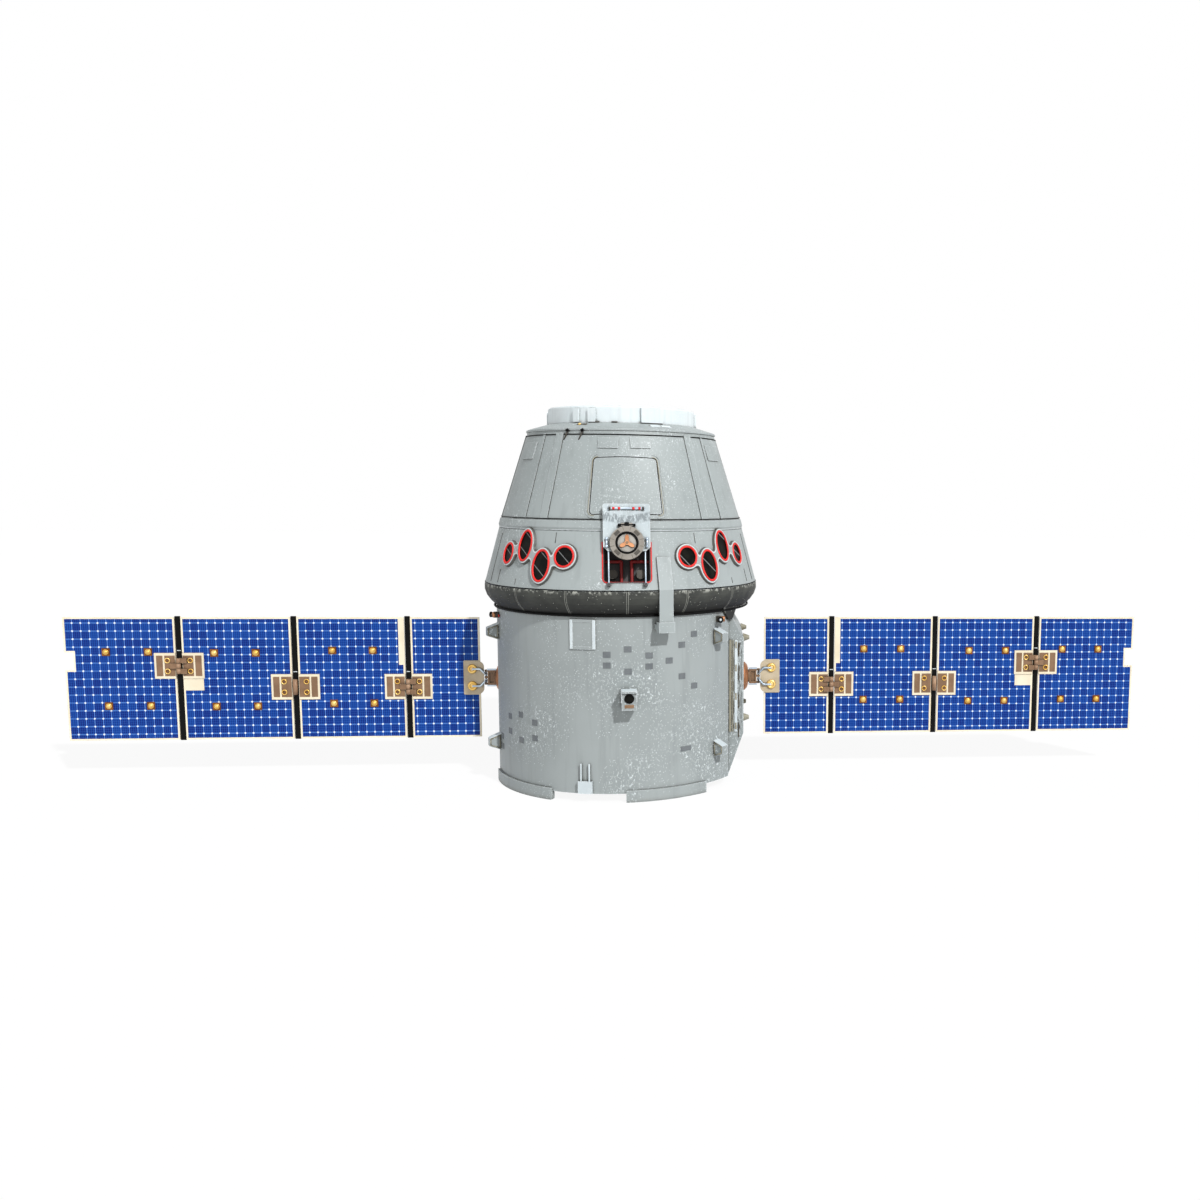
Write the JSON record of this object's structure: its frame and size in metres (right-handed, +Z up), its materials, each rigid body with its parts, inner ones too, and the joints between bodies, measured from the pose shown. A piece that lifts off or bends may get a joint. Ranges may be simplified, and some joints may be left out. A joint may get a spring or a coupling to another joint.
{
  "type": "cargo capsule spacecraft with trunk and folding solar wings",
  "caption": "Cargo capsule on its trunk with two folding solar wings on rotating drives, an inward side hatch, a sliding instrument plate and a berthing ring.",
  "frame": {"origin": "on the floor below the trunk's axis, centre of the whole vehicle's footprint", "axes": "+X along the wings, the front with the hatch and instrument bay looks to -Y, +Z up through the nose"},
  "size_m": [16.0842, 4.0757, 5.455],
  "materials": {
    "trunk_paint": "light grey paint with scuffs",
    "capsule_paint": "light grey paint with scuffs",
    "nose_paint": "white paint",
    "white_metal": "white paint",
    "khaki_metal": "khaki coating",
    "dark_metal": "dark anodised",
    "shield_coating": "matt ablative coating",
    "dark_glass": "black glossy glazing",
    "red_seal": "red seal",
    "bay_dark": "dark lining",
    "red_pipe": "red paint",
    "silver_rod": "bare metal",
    "fixture_metal": "warm grey anodised",
    "copper": "copper coloured",
    "brown_metal": "brown anodised",
    "solar_panel": "blue cells with pale grid lines"
  },
  "bodies": {
    "hull": {"access_panel": "white_metal", "bay_fittings": "dark_metal", "bay_pipes": "red_pipe", "camera_box": "trunk_paint", "camera_lens": "dark_glass", "capsule_lower_wall": "capsule_paint", "capsule_upper_wall": "capsule_paint", "edge_fittings": "dark_metal", "forward_deck": "capsule_paint", "guide_cones": "trunk_paint", "guide_rods": "silver_rod", "heat_shield": "shield_coating", "hold_down_cones": "khaki_metal", "instrument_bay": "bay_dark", "nose_blocks": "nose_paint", "nose_port": "nose_paint", "nose_ring": "nose_paint", "pod_glass": "dark_glass", "pod_housings": "capsule_paint", "pod_rims": "red_seal", "ridge_band": "capsule_paint", "sensor_rods": "white_metal", "skirt_segments": "trunk_paint", "trunk_frames": "trunk_paint", "trunk_wall": "trunk_paint", "umbilical_strap": "capsule_paint", "wall_plates": "capsule_paint", "wall_ribs": "capsule_paint", "wing_bay": "trunk_paint", "left_drive_dome": "copper", "right_drive_dome": "copper"},
    "hatch": {"side_hatch": "capsule_paint"},
    "plate": {"sliding_plate": "capsule_paint", "plate_bar": "silver_rod", "grapple_fixture": "fixture_metal", "grapple_blades": "copper"},
    "left_yoke": {"left_drive_yoke": "brown_metal"},
    "left_wing_1": {"left_panel_1": "solar_panel", "left_hinge_plates_1": "brown_metal", "left_root_arm": "silver_rod"},
    "left_wing_2": {"left_panel_2": "solar_panel", "left_hinge_plates_2": "brown_metal"},
    "left_wing_3": {"left_panel_3": "solar_panel", "left_hinge_plates_3": "brown_metal"},
    "left_wing_4": {"left_panel_4": "solar_panel", "left_hinge_plates_4": "brown_metal"},
    "right_yoke": {"right_drive_yoke": "brown_metal"},
    "right_wing_1": {"right_panel_1": "solar_panel", "right_hinge_plates_1": "brown_metal", "right_root_arm": "silver_rod"},
    "right_wing_2": {"right_panel_2": "solar_panel", "right_hinge_plates_2": "brown_metal"},
    "right_wing_3": {"right_panel_3": "solar_panel", "right_hinge_plates_3": "brown_metal"},
    "right_wing_4": {"right_panel_4": "solar_panel", "right_hinge_plates_4": "brown_metal"}
  },
  "joints": [
    {"name": "left_drive", "type": "hinge", "parent": "hull", "child": "left_yoke", "pos_m": [-1.85, 0, 1.446], "axis": [-1, 0, 0], "range_deg": [-180, 180]},
    {"name": "left_fold", "type": "hinge", "parent": "left_yoke", "child": "left_wing_1", "pos_m": [-2.062, 0, 1.446], "axis": [0, 0, -1], "range_deg": [0, 90]},
    {"name": "left_panel_fold_1", "type": "hinge", "parent": "left_wing_1", "child": "left_wing_2", "pos_m": [-3.1962, -0.04, 1.446], "axis": [0, 0, -1], "range_deg": [-180, 0]},
    {"name": "left_panel_fold_2", "type": "hinge", "parent": "left_wing_2", "child": "left_wing_3", "pos_m": [-4.827, 0.04, 1.446], "axis": [0, 0, -1], "range_deg": [0, 180]},
    {"name": "left_panel_fold_3", "type": "hinge", "parent": "left_wing_3", "child": "left_wing_4", "pos_m": [-6.4578, -0.04, 1.446], "axis": [0, 0, -1], "range_deg": [-180, 0]},
    {"name": "right_drive", "type": "hinge", "parent": "hull", "child": "right_yoke", "pos_m": [1.85, 0, 1.446], "axis": [1, 0, 0], "range_deg": [-180, 180]},
    {"name": "right_fold", "type": "hinge", "parent": "right_yoke", "child": "right_wing_1", "pos_m": [2.062, 0, 1.446], "axis": [0, 0, 1], "range_deg": [0, 90]},
    {"name": "right_panel_fold_1", "type": "hinge", "parent": "right_wing_1", "child": "right_wing_2", "pos_m": [3.1962, -0.04, 1.446], "axis": [0, 0, 1], "range_deg": [-180, 0]},
    {"name": "right_panel_fold_2", "type": "hinge", "parent": "right_wing_2", "child": "right_wing_3", "pos_m": [4.827, 0.04, 1.446], "axis": [0, 0, 1], "range_deg": [0, 180]},
    {"name": "right_panel_fold_3", "type": "hinge", "parent": "right_wing_3", "child": "right_wing_4", "pos_m": [6.4578, -0.04, 1.446], "axis": [0, 0, 1], "range_deg": [-180, 0]},
    {"name": "hatch_swing", "type": "hinge", "parent": "hull", "child": "hatch", "pos_m": [-0.40544, -1.49987, 4.30121], "axis": [-0.0313, 0.298, 0.9541], "range_deg": [0, 85]},
    {"name": "plate_slide", "type": "slide", "parent": "hull", "child": "plate", "axis": [0.0272, -0.2586, -0.9656], "range_m": [0, 0.42]}
  ],
  "couplings": [
    {"joint": "left_panel_fold_1", "follows": "left_fold", "ratio": -2},
    {"joint": "left_panel_fold_2", "follows": "left_fold", "ratio": 2},
    {"joint": "left_panel_fold_3", "follows": "left_fold", "ratio": -2},
    {"joint": "right_panel_fold_1", "follows": "right_fold", "ratio": -2},
    {"joint": "right_panel_fold_2", "follows": "right_fold", "ratio": 2},
    {"joint": "right_panel_fold_3", "follows": "right_fold", "ratio": -2}
  ]
}
